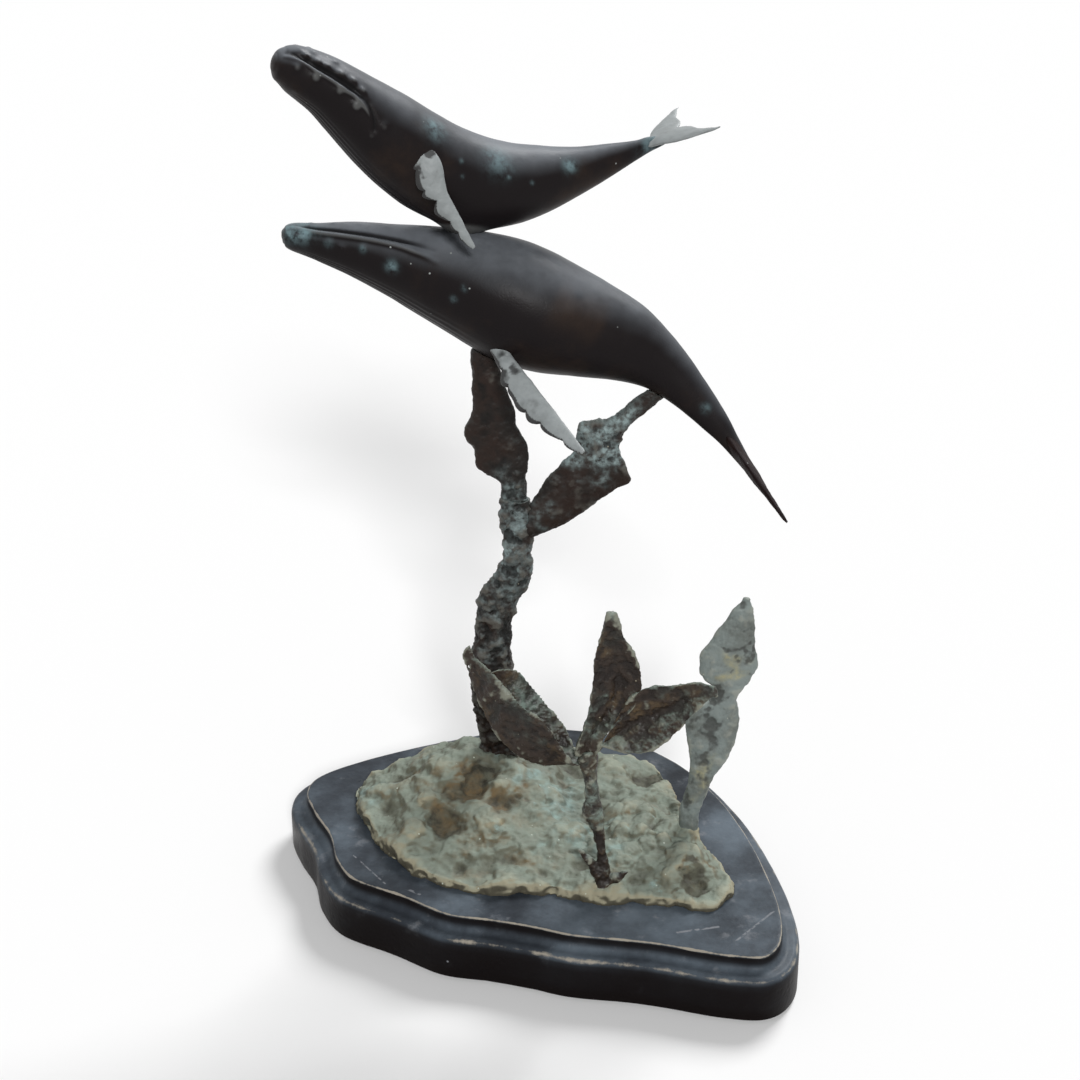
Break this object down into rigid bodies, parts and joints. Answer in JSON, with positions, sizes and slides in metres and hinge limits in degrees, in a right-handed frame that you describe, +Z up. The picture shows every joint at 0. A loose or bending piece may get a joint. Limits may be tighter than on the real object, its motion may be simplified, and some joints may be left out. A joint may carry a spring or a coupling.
{
  "type": "whale figurine",
  "caption": "Cast bronze humpback whale cow and calf swimming over kelp on a rocky seabed, on a black wooden plinth with a moulded edge.",
  "frame": {"origin": "on the table, under the middle of the plinth's footprint, on the underside of the felt pad", "axes": "+Z up, +X from the whales' heads to their tails, +Y away from the whales' left sides (the pictured side faces -Y)"},
  "size_m": [0.2358, 0.2064, 0.3921],
  "materials": {
    "bronze_whale": "dark brown bronze patina, satin, with blue-green verdigris spots",
    "bronze_fin": "grey-green bronze patina, satin",
    "bronze_kelp": "hammered dark brown bronze with teal-grey high spots",
    "bronze_leaf": "green-brown bronze patina, semi-matt",
    "bronze_rock": "pale green verdigris patina with ochre highs, matt",
    "bronze_pin": "plain bronze rod",
    "black_painted_wood": "black paint, satin, dusty and worn to pale wood along the edges",
    "felt": "dark felt",
    "steel": "zinc plated"
  },
  "bodies": {
    "root": {"felt_pad": "felt", "wood_plinth": "black_painted_wood", "base_screws": "steel", "base_washers": "steel", "seabed_rock": "bronze_rock", "kelp_stalk": "bronze_kelp", "chest_frond": "bronze_kelp", "tail_branch": "bronze_kelp", "front_stem": "bronze_leaf", "front_left_leaf": "bronze_leaf", "front_upright_leaf": "bronze_leaf", "front_right_leaf": "bronze_leaf", "side_plant": "bronze_leaf", "mother_body": "bronze_whale", "mother_left_flipper": "bronze_fin", "mother_right_flipper": "bronze_fin", "mother_flukes": "bronze_whale", "calf_body": "bronze_whale", "calf_left_flipper": "bronze_fin", "calf_right_flipper": "bronze_fin", "calf_flukes": "bronze_fin", "root_dowels": "bronze_pin", "fork_dowels": "bronze_pin", "seat_dowels": "bronze_pin", "flipper_dowels": "bronze_pin"}
  },
  "joints": []
}
